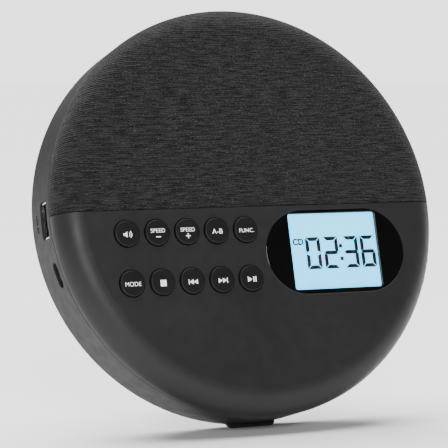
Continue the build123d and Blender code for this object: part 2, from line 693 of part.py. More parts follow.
low_gear_plane = Plane((GEAR_X, GEAR_Y, LOW_GEAR_Z))
high_gear_plane = Plane((GEAR_X, GEAR_Y, HIGH_GEAR_Z))
with BuildPart() as feed_gear:
    extrude(gear_sketch(low_gear_plane, GEAR_SMALL_TEETH, 0, SHAFT_R + RUNNING_GAP), amount=-LOW_GEAR_T)
    extrude(gear_sketch(high_gear_plane, GEAR_LARGE_TEETH, 0, SHAFT_R + RUNNING_GAP), amount=-HIGH_GEAR_T)
    with BuildSketch(low_gear_plane):
        Circle(3.2)
        Circle(SHAFT_R + RUNNING_GAP, mode=Mode.SUBTRACT)
    extrude(amount=HIGH_GEAR_Z - HIGH_GEAR_T - LOW_GEAR_Z)
save(feed_gear.part, "feed_gear")

with BuildPart() as feed_pinion:
    pinion_plane = Plane((FEED_MOTOR_X, GEAR_Y, HIGH_GEAR_Z))
    half_tooth = 180 / PINION_TEETH
    extrude(gear_sketch(pinion_plane, PINION_TEETH, half_tooth, SHAFT_R + RUNNING_GAP), amount=-HIGH_GEAR_T)
save(feed_pinion.part, "feed_pinion")

rack_pitch = math.pi * MODULE
with BuildPart() as pickup_sled:
    with BuildSketch(Plane.XY.offset(-18.9)):
        with Locations((0, LENS_REST_Y - 1.5)):
            RectangleRounded(26, 17, 1.5)
    extrude(amount=5.1)
    with BuildSketch(Plane.XY.offset(-16.6)):
        with Locations((0, LENS_REST_Y - 1.5)):
            Rectangle(2 * 19.8, 15)
        with Locations((19.8, -18.0)):
            Rectangle(1.1, 39)
    extrude(amount=2.8)
    with BuildSketch(Plane.XZ.offset(5)):
        for x in (-ROD_X, ROD_X):
            with Locations((x, ROD_Z)):
                Circle(ROD_R + RUNNING_GAP)
    extrude(amount=40, mode=Mode.SUBTRACT)
    with BuildSketch(Plane.XY.offset(-16.5)):
        for step in range(-1, 18):
            with BuildLine():
                tooth_y = GEAR_Y + (step + 0.5) * rack_pitch
                Polyline(
                    (20.2, tooth_y - 0.26 * rack_pitch), (RACK_X + 0.45, tooth_y - 0.11 * rack_pitch),
                    (RACK_X + 0.45, tooth_y + 0.11 * rack_pitch), (20.2, tooth_y + 0.26 * rack_pitch),
                    close=True,
                )
            make_face()
    extrude(amount=2.2)
    with BuildSketch(Plane.XY.offset(-18.9)):
        with Locations((0, LENS_REST_Y)):
            Circle(5.0)
            Circle(2.6, mode=Mode.SUBTRACT)
    extrude(amount=-1.7)
save(pickup_sled.part, "pickup_sled")

with BuildPart() as pickup_lens:
    with BuildSketch(Plane((0, LENS_REST_Y, -18.9))):
        Circle(2.6)
    extrude(amount=-2.2)
    fillet(pickup_lens.faces().sort_by(Axis.Z)[0].edges(), 0.9)
save(pickup_lens.part, "pickup_lens")

# ---- Lid over the disc bay, at the rear ----------------------------------------------------------
with BuildPart() as disc_lid:
    with BuildSketch(Plane.XY.offset(REAR_Z)):
        Circle(LID_R)
    extrude(amount=LID_FRONT_Z - REAR_Z)
    fillet(disc_lid.faces().sort_by(Axis.Z)[0].edges(), 0.6)
    with BuildSketch(Plane.XY.offset(LID_FRONT_Z)):
        Circle(64.6)
        Circle(63.0, mode=Mode.SUBTRACT)
        with Locations((0, 66)):
            Rectangle(40, 10, mode=Mode.SUBTRACT)
    extrude(amount=2.4)
    # Thicker strip round the stand's recess, kept clear of the hub, and of the rim of the bay.
    with BuildSketch(Plane.XY.offset(LID_FRONT_Z)):
        Circle(62.9)
        with Locations((0, -10)):
            Rectangle(2 * STAND_TOP_HALF_W + 14, 108, mode=Mode.INTERSECT)
        Circle(10.2, mode=Mode.SUBTRACT)
        with Locations((0, LATCH_Y)):
            Rectangle(13, 22, mode=Mode.SUBTRACT)
    extrude(amount=LID_POCKET_Z - LID_FRONT_Z)
    extrude(stand_outline(Plane.XY.offset(REAR_Z), RECESS_GAP), amount=RECESS_Z - REAR_Z, mode=Mode.SUBTRACT)
    with BuildSketch(Plane.XY.offset(REAR_Z)):
        for side in (-1, 1):
            with Locations((side * (STAND_TOP_HALF_W - STAND_W / 2), PIVOT_Y - 0.3)):
                Rectangle(STAND_W + 2 * RECESS_GAP, 4.6)
    extrude(amount=3.5, mode=Mode.SUBTRACT)
    for x in (-STAND_TOP_HALF_W - 2.6, STAND_TOP_HALF_W + 2.6 - PIVOT_PIN_LENGTH):
        with BuildSketch(Plane.YZ.offset(x)):
            with Locations((PIVOT_Y, PIVOT_Z)):
                Circle(PIVOT_PIN_R)
        extrude(amount=PIVOT_PIN_LENGTH, mode=Mode.SUBTRACT)
    # Hinge arms with their knuckles, either side of the housing's middle knuckle.
    for x in (-HINGE_HALF_W, HINGE_MID_HALF_W + 0.3):
        with BuildSketch(Plane.YZ.offset(x)):
            with Locations((HINGE_Y, HINGE_Z)):
                Circle(HINGE_R)
            with Locations((HINGE_Y - 3.0, HINGE_Z - 0.75)):
                Rectangle(6.0, 2.1)
        extrude(amount=HINGE_HALF_W - HINGE_MID_HALF_W - 0.3)
    with BuildSketch(Plane.XY.offset(REAR_Z)):
        with Locations((0, 66.9)):
            Rectangle(2 * HINGE_MID_HALF_W + 0.6, 3.6)
    extrude(amount=2.4, mode=Mode.SUBTRACT)
    with BuildSketch(Plane.YZ.offset(-HINGE_HALF_W - 1)):
        with Locations((HINGE_Y, HINGE_Z)):
            Circle(HINGE_PIN_R + RUNNING_GAP)
    extrude(amount=2 * HINGE_HALF_W + 2, mode=Mode.SUBTRACT)
    # Slot and shallow tray for the latch.
    with BuildSketch(Plane.XY.offset(REAR_Z)):
        with Locations((0, LATCH_Y + LATCH_TRAVEL / 2)):
            Rectangle(8.8, 4 + LATCH_TRAVEL + 0.8)
    extrude(amount=3, mode=Mode.SUBTRACT)
    with BuildSketch(Plane.XY.offset(LID_FRONT_Z)):
        with Locations((0, -63)):
            Rectangle(9.2, 8)
    extrude(amount=3, mode=Mode.SUBTRACT)
save(disc_lid.part, "disc_lid")

with BuildPart() as lid_hinge_pin:
    with BuildSketch(Plane.YZ.offset(-HINGE_HALF_W - 1.8)):
        with Locations((HINGE_Y, HINGE_Z)):
            Circle(HINGE_PIN_R)
    extrude(amount=2 * HINGE_HALF_W + 3.6)
save(lid_hinge_pin.part, "lid_hinge_pin")

with BuildPart() as lid_latch:
    with BuildSketch(Plane.XY.offset(REAR_Z - 0.3)):
        with Locations((0, LATCH_Y)):
            RectangleRounded(12, 6, 1.4)
    extrude(amount=-1.1)
    with BuildSketch(Plane.XY.offset(REAR_Z - 0.3)):
        with Locations((0, LATCH_Y)):
            Rectangle(8, 4)
    extrude(amount=2.6)
    with BuildSketch(Plane.XY.offset(LID_FRONT_Z + 0.3)):
        with Locations((0, LATCH_Y - 5.0)):
            Rectangle(8, 14.4)
        with Locations((0, LATCH_Y + 1.2)):
            Rectangle(11.6, 2.0)
    extrude(amount=1.1)
save(lid_latch.part, "lid_latch")

# ---- Stand: drawn folded in its groove, then swung out to where it props the cabinet --------------
with BuildPart() as stand_pad:
    pad_y = PIVOT_Y - STAND_REACH
    pad_slope = math.tan(math.radians(STAND_SPLAY))
    with BuildSketch(Plane.YZ.offset(-PAD_HALF_W)):
        with BuildLine():
            Polyline(
                (pad_y + 2.6, STAND_FRONT_Z - 0.05), (pad_y + 1.2 * pad_slope, STAND_FRONT_Z - 0.05),
                (pad_y - 1.2 * pad_slope, STAND_REAR_Z + 0.05), (pad_y + 2.6, STAND_REAR_Z + 0.05), close=True,
            )
        make_face()
    extrude(amount=2 * PAD_HALF_W)

with BuildPart() as kickstand:
    extrude(stand_outline(Plane.XY.offset(STAND_REAR_Z), 0), amount=STAND_FRONT_Z - STAND_REAR_Z)
    # Round the two knuckles off, and bore them for their pins.
    for x in (-STAND_TOP_HALF_W, STAND_TOP_HALF_W - STAND_W):
        with BuildSketch(Plane.YZ.offset(x - 0.5)):
            with Locations((PIVOT_Y, PIVOT_Z)):
                Rectangle(PIVOT_R, 4, align=(Align.MIN, Align.CENTER))
                Circle(PIVOT_R, mode=Mode.SUBTRACT)
            with Locations((PIVOT_Y + 2 * PIVOT_R, PIVOT_Z)):
                Rectangle(2 * PIVOT_R, 4)
        extrude(amount=STAND_W + 1, mode=Mode.SUBTRACT)
        with BuildSketch(Plane.YZ.offset(x - 0.5)):
            with Locations((PIVOT_Y, PIVOT_Z)):
                Circle(PIVOT_PIN_R + RUNNING_GAP)
        extrude(amount=STAND_W + 1, mode=Mode.SUBTRACT)
    add(stand_pad.part, mode=Mode.SUBTRACT)

stand_axis = Axis((0, PIVOT_Y, PIVOT_Z), (1, 0, 0))
save(kickstand.part.rotate(stand_axis, STAND_OPEN), "kickstand")
save(stand_pad.part.rotate(stand_axis, STAND_OPEN), "stand_pad")

with BuildPart() as stand_pins:
    for x in (-STAND_TOP_HALF_W - 2.6, STAND_TOP_HALF_W + 2.6 - PIVOT_PIN_LENGTH):
        with BuildSketch(Plane.YZ.offset(x)):
            with Locations((PIVOT_Y, PIVOT_Z)):
                Circle(PIVOT_PIN_R)
        extrude(amount=PIVOT_PIN_LENGTH)
save(stand_pins.part, "stand_pins")
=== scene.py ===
import bpy
import json
import math
from mathutils import Matrix, Vector


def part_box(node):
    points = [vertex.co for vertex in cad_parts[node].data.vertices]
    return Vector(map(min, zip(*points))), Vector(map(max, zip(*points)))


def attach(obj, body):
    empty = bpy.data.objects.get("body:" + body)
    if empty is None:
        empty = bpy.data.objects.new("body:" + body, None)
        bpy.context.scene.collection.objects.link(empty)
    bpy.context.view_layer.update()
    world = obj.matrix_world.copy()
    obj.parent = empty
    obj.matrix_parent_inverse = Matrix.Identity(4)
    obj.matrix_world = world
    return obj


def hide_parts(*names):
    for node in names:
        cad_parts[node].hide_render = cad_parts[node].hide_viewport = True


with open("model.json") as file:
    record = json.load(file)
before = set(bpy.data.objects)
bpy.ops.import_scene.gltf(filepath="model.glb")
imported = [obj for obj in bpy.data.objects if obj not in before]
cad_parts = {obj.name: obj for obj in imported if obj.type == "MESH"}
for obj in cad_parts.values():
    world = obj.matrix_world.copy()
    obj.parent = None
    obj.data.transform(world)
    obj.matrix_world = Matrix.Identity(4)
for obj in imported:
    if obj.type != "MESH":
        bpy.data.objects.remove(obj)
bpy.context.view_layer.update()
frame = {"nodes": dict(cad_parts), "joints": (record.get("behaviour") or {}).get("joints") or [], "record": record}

MM = 0.001

# ---- The leaning cabinet's own axes, read from the turntable's axle ------------------------------
joints = {joint["name"]: joint for joint in frame["joints"]}
AXLE_DEPTH = 22 * MM            # the axle's marked point lies this far behind the face
face_normal = Vector(joints["turntable_spin"]["axis"]).normalized()
face_across = Vector((1, 0, 0))
face_up = face_normal.cross(face_across)
face_centre = Vector(joints["turntable_spin"]["pos_m"]) + AXLE_DEPTH * face_normal
face_turn = Matrix((face_across, face_up, face_normal)).transposed().to_4x4()
to_row_mm = Matrix.Translation(face_centre) @ face_turn @ Matrix.Scale(MM, 4)

# ---- Sizes of the front, in millimetres ----------------------------------------------------------
BODY_R = 77.5
SHOULDER_W = 10.0
SHOULDER_D = 8.5
KEY_PROUD = 1.0
KEY_R = 4.8
LENS_AT = (31.6, -17.8)
LENS_SIZE = (57.4, 31.7)
LCD_AT = (31.45, -17.55)
LCD_SIZE = (36.9, 29.1)
LCD_FRONT_Z = -0.9

# ---- Places on the rim and the rear: angles in degrees from +X, depths in millimetres ------------
USB_A_ANGLE, USB_A_Z = 180.0, -14.4
USB_C_ANGLE, USB_C_Z = 195.3, -13.1
JACK_ANGLE = 12.0
ROCKER_ANGLE, ROCKER_Z = -10.5, -12.6
POWER_ANGLE, POWER_Z = -21.0, -12.6
ROCKER_PROUD = 1.6
KNOB_PROUD = 1.9
LABEL_Z = -21.4
REAR_DEPTH = 29.0
LATCH_Y = -53.5
LATCH_DEPTH = 30.4
LABEL_AT = (-41.0, -6.0)


# ---- Node helpers --------------------------------------------------------------------------------
class Nodes:
    """A material's node tree with short calls for the nodes used here."""

    def __init__(self, name):
        self.material = bpy.data.materials.new(name)
        self.material.use_nodes = True
        self.tree = self.material.node_tree
        self.shader = self.tree.nodes["Principled BSDF"]

    def new(self, kind, inputs=None, **settings):
        node = self.tree.nodes.new(kind)
        for key, value in settings.items():
            setattr(node, key, value)
        for key, value in (inputs or {}).items():
            if isinstance(value, bpy.types.NodeSocket):
                self.tree.links.new(value, node.inputs[key])
            else:
                node.inputs[key].default_value = value
        return node

    def place(self, scale=(1, 1, 1), uv=False):
        """Coordinates in metres, from the object or its UV map, stretched by a scale."""
        source = self.new("ShaderNodeTexCoord").outputs["UV" if uv else "Object"]
        return self.new("ShaderNodeMapping", {"Vector": source, "Scale": scale}).outputs["Vector"]

    def noise(self, vector, scale, detail=3.0, roughness=0.5):
        inputs = {"Vector": vector, "Scale": scale, "Detail": detail, "Roughness": roughness}
        return self.new("ShaderNodeTexNoise", inputs).outputs["Fac"]

    def ramp(self, value, low, high, start=0.0, end=1.0):
        """A value spread from low to high as the input goes from start to end."""
        inputs = {"Value": value, "From Min": start, "From Max": end, "To Min": low, "To Max": high}
        return self.new("ShaderNodeMapRange", inputs).outputs["Result"]

    def mix(self, factor, first, second):
        node = self.new("ShaderNodeMix", data_type="RGBA")
        for index, value in ((0, factor), (6, first), (7, second)):
            if isinstance(value, bpy.types.NodeSocket):
                self.tree.links.new(value, node.inputs[index])
            else:
                node.inputs[index].default_value = value
        return node.outputs[2]

    def math(self, operation, first, second):
        node = self.new("ShaderNodeMath", operation=operation)
        for index, value in ((0, first), (1, second)):
            if isinstance(value, bpy.types.NodeSocket):
                self.tree.links.new(value, node.inputs[index])
            else:
                node.inputs[index].default_value = value
        return node.outputs[0]

    def bump(self, height, distance, strength=1.0):
        inputs = {"Height": height, "Distance": distance, "Strength": strength}
        self.set("Normal", self.new("ShaderNodeBump", inputs).outputs["Normal"])

    def set(self, socket, value):
        if isinstance(value, bpy.types.NodeSocket):
            self.tree.links.new(value, self.shader.inputs[socket])
        else:
            self.shader.inputs[socket].default_value = value


def grey(level, tint=0.0):
    """A nearly neutral colour; a positive tint leans towards blue."""
    return (level * (1 - tint), level, level * (1 + tint), 1)


def plastic(name, level, roughness, grain=0.00002, speck=0.12, gloss=0.5, tint=0.015):
    """Moulded plastic: fine spark-eroded grain, faint flow shading and slightly uneven gloss."""
    n = Nodes(name)
    at = n.place()
    fine = n.noise(at, 3200, 2.0)
    broad = n.noise(at, 28, 3.0)
    darker, lighter = grey(level * (1 - speck), tint), grey(level * (1 + speck), tint)
    n.set("Base Color", n.mix(n.ramp(broad, 0, 1, 0.3, 0.7), darker, lighter))
    n.set("Roughness", n.ramp(n.noise(at, 260, 3.0), roughness - 0.05, roughness + 0.05, 0.3, 0.7))
    n.bump(fine, grain)
    n.set("Specular IOR Level", gloss)
    return n.material


def metal(name, colour, roughness):
    """Bare metal with fine drawn lines."""
    n = Nodes(name)
    lines = n.noise(n.place(scale=(1, 1, 0.08)), 900, 3.0)
    darker = tuple(0.8 * c for c in colour)
    n.set("Base Color", n.mix(n.ramp(lines, 0, 1, 0.35, 0.65), darker + (1,), colour + (1,)))
    n.set("Metallic", 1.0)
    n.set("Roughness", n.ramp(lines, roughness - 0.08, roughness + 0.08, 0.3, 0.7))
    n.bump(lines, 0.00001)
    return n.material


def rubber(name, level):
    """Soft rubber, dull and slightly mottled."""
    n = Nodes(name)
    at = n.place()
    mottle = n.ramp(n.noise(at, 90), 0, 1, 0.3, 0.7)
    n.set("Base Color", n.mix(mottle, grey(level * 0.8), grey(level * 1.4)))
    n.set("Roughness", n.ramp(n.noise(at, 700), 0.7, 0.9, 0.3, 0.7))
    n.bump(n.noise(at, 2400, 2.0), 0.00003)
    return n.material


def cloth_material():
    """Charcoal speaker cloth: crossed yarns with streaks along the weft and pale flecks."""
    n = Nodes("speaker_cloth")
    at = n.place(uv=True)
    split = n.new("ShaderNodeSeparateXYZ", {"Vector": at})
    warp_pitch, weft_pitch = 0.0009, 0.0008
    warp = n.math("SINE", n.math("MULTIPLY", split.outputs["X"], 2 * math.pi / warp_pitch), 0.0)
    weft = n.math("SINE", n.math("MULTIPLY", split.outputs["Y"], 2 * math.pi / weft_pitch), 0.0)
    weave = n.math("MULTIPLY", warp, weft)
    streak_at = n.place(scale=(0.10, 1, 1), uv=True)
    streaks = n.noise(streak_at, 1500, 2.0, 0.6)
    flecks = n.noise(n.place(scale=(0.5, 1, 1), uv=True), 2000, 2.0, 0.6)
    yarn = n.mix(n.ramp(streaks, 0, 1, 0.40, 0.62), grey(0.001), grey(0.022))
    speckled = n.mix(n.ramp(flecks, 0, 0.8, 0.56, 0.74), yarn, grey(0.075))
    shaded = n.mix(n.ramp(weft, 0, 0.45, -1, 1), speckled, grey(0.005))
    n.set("Base Color", shaded)
    n.set("Roughness", 0.95)
    n.set("Specular IOR Level", 0.25)
    n.set("Sheen Weight", 0.07)
    n.set("Sheen Roughness", 0.45)
    n.set("Sheen Tint", (0.8, 0.82, 0.86, 1))
    ridges = n.math("ADD", weft, n.math("MULTIPLY", flecks, 2.0))
    n.bump(n.math("ADD", n.math("MULTIPLY", weave, 0.25), ridges), 0.00012)
    return n.material


def gloss_black(name, level=0.001):
    """Black print under clear gloss, with the faintest ripple and dust in it."""
    n = Nodes(name)
    at = n.place()
    clouds = n.ramp(n.noise(at, 60), 0, 1, 0.3, 0.7)
    n.set("Base Color", n.mix(clouds, grey(level), grey(level * 1.6, 0.05)))
    n.set("Roughness", n.ramp(n.noise(at, 420, 3.0), 0.05, 0.09, 0.3, 0.7))
    n.bump(n.noise(at, 45, 2.0), 0.000006)
    return n.material


def window_material():
    """Clear sheet over the display."""
    n = Nodes("window_clear")
    at = n.place()
    n.set("Base Color", (0.97, 0.99, 1, 1))
    n.set("Transmission Weight", 1.0)
    n.set("Roughness", n.ramp(n.noise(at, 500), 0.01, 0.03, 0.3, 0.7))
    n.set("IOR", 1.1)
    return n.material


def lcd_material():
    """Lit blue display, unevenly bright across its light guide, with a fine cell grain."""
    n = Nodes("lcd_lit")
    at = n.place()
    broad = n.noise(at, 35, 1.0)
    cells = n.noise(at, 2600, 1.0)
    tone = n.math("ADD", n.math("MULTIPLY", broad, 0.7), n.math("MULTIPLY", cells, 0.3))
    colour = n.mix(n.ramp(tone, 0, 1, 0.3, 0.7), (0.05, 0.56, 0.98, 1), (0.09, 0.66, 1.0, 1))
    n.set("Base Color", colour)
    n.set("Roughness", 0.4)
    n.set("Emission Color", colour)
    n.set("Emission Strength", 2.3)
    return n.material


def ink(name, colour, roughness=0.5, glow=0.0, gloss=0.5):
    """Printed or screened ink, slightly uneven; a glow adds painted light, so the ink shines though it is no lamp.
    """
    n = Nodes(name)
    at = n.place()
    faded = tuple(0.86 * c for c in colour)
    mixed = n.mix(n.ramp(n.noise(at, 900, 3.0), 0, 1, 0.3, 0.7), faded + (1,), colour + (1,))
    n.set("Base Color", mixed)
    n.set("Roughness", roughness)
    n.set("Specular IOR Level", gloss)
    n.bump(n.noise(at, 3000, 2.0), 0.000006)
    # Painted light: the ink emits a glow of its own, though printed ink is no lamp.
    if glow:
        n.set("Emission Color", colour + (1,))
        n.set("Emission Strength", glow)
    return n.material


def board_material():
    """Solder resist over copper tracks."""
    n = Nodes("board_green")
    at = n.place()
    cells = n.new("ShaderNodeTexVoronoi", {"Vector": at, "Scale": 220}, feature="DISTANCE_TO_EDGE")
    tracks = cells.outputs["Distance"]
    copper, resist = (0.03, 0.16, 0.06, 1), (0.012, 0.07, 0.03, 1)
    n.set("Base Color", n.mix(n.ramp(tracks, 0, 1, 0.04, 0.09), copper, resist))
    n.set("Roughness", 0.35)
    n.bump(tracks, 0.00003)
    return n.material


case_plastic = plastic("case_plastic", 0.016, 0.42, gloss=0.24)
band_plastic = plastic("band_plastic", 0.017, 0.52, gloss=0.17)
key_plastic = plastic("key_plastic", 0.008, 0.42, grain=0.00001, gloss=0.16)
dark_plastic = plastic("dark_plastic", 0.012, 0.5)
gear_plastic = plastic("gear_plastic", 0.72, 0.38, tint=-0.03, speck=0.04)
white_plastic = plastic("white_plastic", 0.8, 0.4, speck=0.03)
battery_wrap = plastic("battery_wrap", 0.09, 0.3, tint=0.6)
paper = plastic("cone_paper", 0.03, 0.85, grain=0.00006)
steel = metal("bare_steel", (0.62, 0.62, 0.64), 0.32)
bright_steel = metal("bright_steel", (0.80, 0.80, 0.82), 0.2)
contact_gold = metal("contact_gold", (0.85, 0.62, 0.28), 0.25)
soft_rubber = rubber("soft_rubber", 0.014)
cloth = cloth_material()
lens_black = gloss_black("lens_black")
window_clear = window_material()
lcd_lit = lcd_material()
# White key-legend ink with a painted glow: it emits light to look brighter, though it is no lamp.
legend_ink_painted_glow = ink("legend_ink_painted_glow", (0.95, 0.95, 0.95), glow=0.3)
segment_ink = ink("segment_ink", (0.006, 0.007, 0.009))
rim_ink = ink("rim_ink", (0.42, 0.42, 0.43))
dark_ink = ink("dark_ink", (0.004, 0.004, 0.004), roughness=0.9, gloss=0.03)
# Near-black plastic for the socket tongues, also used as painted shade on the port linings.
port_black_and_painted_shade = plastic("port_black_and_painted_shade", 0.006, 0.5, gloss=0.2)
label_film = plastic("label_film", 0.028, 0.30, grain=0.000004)
black_zinc = metal("black_zinc", (0.10, 0.10, 0.11), 0.35)
board_green = board_material()

key_nodes = tuple(name for name in frame["nodes"] if name.startswith("key_") and name != "key_switches")
node_materials = {
    case_plastic: ("front_shell", "disc_lid", "lid_latch", "kickstand"),
    band_plastic: ("rear_housing", "volume_rocker", "power_knob"),
    key_plastic: key_nodes,
    dark_plastic: (
        "disc_deck", "turntable_hub", "pickup_sled", "audio_jack", "key_switches", "side_switches",
    ),
    gear_plastic: ("feed_gear", "feed_pinion"),
    white_plastic: ("lcd_backlight",),
    battery_wrap: ("battery",),
    paper: ("speaker_cone_left", "speaker_cone_right"),
    steel: (
        "guide_rods", "hub_balls", "lid_hinge_pin", "stand_pins", "board_screws", "chassis_screws",
        "spindle_motor", "feed_motor", "drive_chassis",
        "speaker_frame_left", "speaker_frame_right", "speaker_magnet_left", "speaker_magnet_right",
    ),
    bright_steel: ("usb_a_socket", "usb_c_socket"),
    black_zinc: ("case_screws",),
    soft_rubber: ("rim_foot", "stand_pad", "chassis_dampers"),
    lcd_lit: ("lcd_panel",),
    lens_black: ("display_lens", "pickup_lens"),
    board_green: ("main_board",),
}
for material, names in node_materials.items():
    for name in names:
        slots = frame["nodes"][name].data.materials
        slots.clear()
        slots.append(material)

bodies = frame["record"]["behaviour"]["bodies"]
body_of_node = {node: body for body, nodes in bodies.items() for node in nodes}


# ---- Mesh helpers --------------------------------------------------------------------------------
def finish_piece(piece, material, body, matrix=to_row_mm):
    """Bake a piece drawn in face millimetres into the row frame, and fasten it to its body."""
    piece.data.transform(matrix)
    piece.data.materials.clear()
    piece.data.materials.append(material)
    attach(piece, body)


def to_mesh(curve_object, name):
    """Turn a curve or text object into a mesh object of the given name."""
    bpy.context.view_layer.update()
    depsgraph = bpy.context.evaluated_depsgraph_get()
    mesh = bpy.data.meshes.new_from_object(curve_object.evaluated_get(depsgraph))
    mesh.name = name
    bpy.data.objects.remove(curve_object)
    piece = bpy.data.objects.new(name, mesh)
    bpy.context.scene.collection.objects.link(piece)
    return piece


def flat_shape(name, outlines, back, front, bevel=0.0):
    """A flat piece from closed outlines; an outline inside another is a hole."""
    curve = bpy.data.curves.new(name, "CURVE")
    curve.dimensions = "2D"
    curve.fill_mode = "BOTH"
    curve.extrude = (front - back) / 2 - bevel
    curve.bevel_depth = bevel
    curve.bevel_resolution = 2
    for outline in outlines:
        spline = curve.splines.new("POLY")
        spline.points.add(len(outline) - 1)
        for point, (x, y) in zip(spline.points, outline):
            point.co = (x, y, 0, 1)
        spline.use_cyclic_u = True
    drawn = bpy.data.objects.new(name, curve)
    bpy.context.scene.collection.objects.link(drawn)
    piece = to_mesh(drawn, name)
    piece.data.transform(Matrix.Translation((0, 0, (front + back) / 2)))
    return piece


def rounded(centre, size, radius, steps=10):
    """Outline of a rectangle with round corners."""
    points = []
    for quarter, (sx, sy) in enumerate(((1, 1), (-1, 1), (-1, -1), (1, -1))):
        cx = centre[0] + sx * (size[0] / 2 - radius)
        cy = centre[1] + sy * (size[1] / 2 - radius)
        for step in range(steps + 1):
            a = math.radians(90 * (quarter + step / steps))
            points.append((cx + radius * math.cos(a), cy + radius * math.sin(a)))
    return points


def lettering(name, words, centre, height, surface, thickness=0.03, boldness=0.0):
    """Plain raised lettering, centred on a point."""
    text = bpy.data.curves.new(name, "FONT")
    text.body = words
    text.align_x = "CENTER"
    text.align_y = "CENTER"
    text.size = height / 0.7
    text.extrude = thickness / 2
    text.offset = boldness * height
    drawn = bpy.data.objects.new(name, text)
    bpy.context.scene.collection.objects.link(drawn)
    piece = to_mesh(drawn, name)
    piece.data.transform(Matrix.Translation((centre[0], centre[1], surface + thickness / 2)))
    return piece


# ---- Speaker cloth -------------------------------------------------------------------------------
def shoulder_table(steps=400):
    """Arc length, radius and depth along the front's half section."""
    flat = BODY_R - SHOULDER_W
    rows = [(0.0, 0.0, 0.0), (flat, flat, 0.0)]
    length = flat
    last = (flat, 0.0)
    for step in range(1, steps + 1):
        a = math.pi / 2 * (1 - step / steps)
        point = (flat + SHOULDER_W * math.cos(a), -SHOULDER_D + SHOULDER_D * math.sin(a))
        length += math.dist(point, last)
        rows.append((length, *point))
        last = point
    return rows


def along(table, length):
    """Radius and depth at an arc length."""
    for (before, r0, z0), (after, r1, z1) in zip(table, table[1:]):
        if length <= after:
            t = (length - before) / (after - before)
            return r0 + t * (r1 - r0), z0 + t * (z1 - z0)
    return table[-1][1:]


def speaker_cloth():
    """Cloth stretched over the upper half of the front and tucked in along the middle."""
    table = shoulder_table()
    reach = table[-1][0]
    pitch = 0.75
    columns = 220
    roll_depth, roll_width = 0.55, 0.42
    yarn_height = 0.03
    edge_gap = 0.03
    tuck = [0.0, 0.12, 0.3, 0.55, 0.9]
    rows = tuck + [tuck[-1] + pitch * k for k in range(1, int((reach - 1.5) / pitch))] + [reach - 0.05]
    vertices, uvs, faces = [], [], []
    for v in rows:
        chord = math.sqrt(max(reach * reach - v * v, 0.01))
        for column in range(columns + 1):
            u = chord * (2 * column / columns - 1)
            length = math.hypot(u, v)
            radius, depth = along(table, min(length, reach))
            scale = radius / length if length else 1.0
            rolled = roll_depth * math.exp(-((v / roll_width) ** 2))
            yarn = yarn_height * math.sin(v * 2 * math.pi / (2 * pitch)) * math.sin(u * 0.9)
            vertices.append((u * scale, v * scale + edge_gap, depth - rolled + yarn))
            uvs.append((u * MM, v * MM))
    for row in range(len(rows) - 1):
        for column in range(columns):
            a = row * (columns + 1) + column
            faces.append((a, a + 1, a + columns + 2, a + columns + 1))
    mesh = bpy.data.meshes.new("speaker_cloth")
    mesh.from_pydata(vertices, [], faces)
    layer = mesh.uv_layers.new(name="weave")
    for loop in mesh.loops:
        layer.data[loop.index].uv = uvs[loop.vertex_index]
    mesh.shade_smooth()
    piece = bpy.data.objects.new("speaker_cloth", mesh)
    bpy.context.scene.collection.objects.link(piece)
    finish_piece(piece, cloth, "cabinet")
    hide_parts("speaker_fabric")
    thick = piece.modifiers.new("thickness", "SOLIDIFY")
    thick.thickness = 0.9 * MM
    thick.offset = -1


speaker_cloth()


# ---- Display -------------------------------------------------------------------------------------
def display():
    """The black capsule with its window, the clear sheet in the window and the lit panel behind."""
    frame_outline = rounded(LENS_AT, LENS_SIZE, LENS_SIZE[1] / 2 - 0.01, 32)
    window_outline = rounded(LCD_AT, LCD_SIZE, 1.2)
    border = flat_shape("lens_border", [frame_outline, window_outline], -1.5, 0.05, 0.22)
    finish_piece(border, lens_black, "cabinet")
    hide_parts("display_lens")
    sheet_outline = rounded(LCD_AT, (LCD_SIZE[0] + 0.3, LCD_SIZE[1] + 0.3), 1.2)
    window = flat_shape("lens_window", [sheet_outline], -0.55, -0.1, 0.02)
    finish_piece(window, window_clear, "cabinet")
    panel_outline = rounded(LCD_AT, (LCD_SIZE[0] + 0.6, LCD_SIZE[1] + 0.5), 0.8)
    panel = flat_shape("lcd_face", [panel_outline], -1.4, LCD_FRONT_Z, 0.05)
    finish_piece(panel, lcd_lit, "cabinet")


SEGMENTS = {"0": "abcdef", "2": "abged", "3": "abgcd", "6": "afgedc"}


def segment_outlines(x, y, width, height, stroke, gap):
    """Outlines of the seven strokes of one digit, its lower left corner at x, y."""
    half_stroke = stroke / 2
    left, right = x + gap, x + width - gap
    low, middle, high = y, y + height / 2, y + height
    shapes = {
        "a": [(left + stroke, high - stroke), (right - stroke, high - stroke), (right, high), (left, high)],
        "g": [
            (left, middle), (left + half_stroke, middle - half_stroke),
            (right - half_stroke, middle - half_stroke), (right, middle),
            (right - half_stroke, middle + half_stroke), (left + half_stroke, middle + half_stroke),
        ],
        "d": [(left, low), (right, low), (right - stroke, low + stroke), (left + stroke, low + stroke)],
    }
    for upper, lower, outer, inner in (("f", "e", x, x + stroke), ("b", "c", x + width, x + width - stroke)):
        shapes[upper] = [
            (outer, high - gap), (inner, high - gap - stroke),
            (inner, middle + gap + half_stroke), (outer, middle + gap),
        ]
        shapes[lower] = [
            (outer, middle - gap), (inner, middle - gap - half_stroke),
            (inner, low + gap + stroke), (outer, low + gap),
        ]
    return shapes


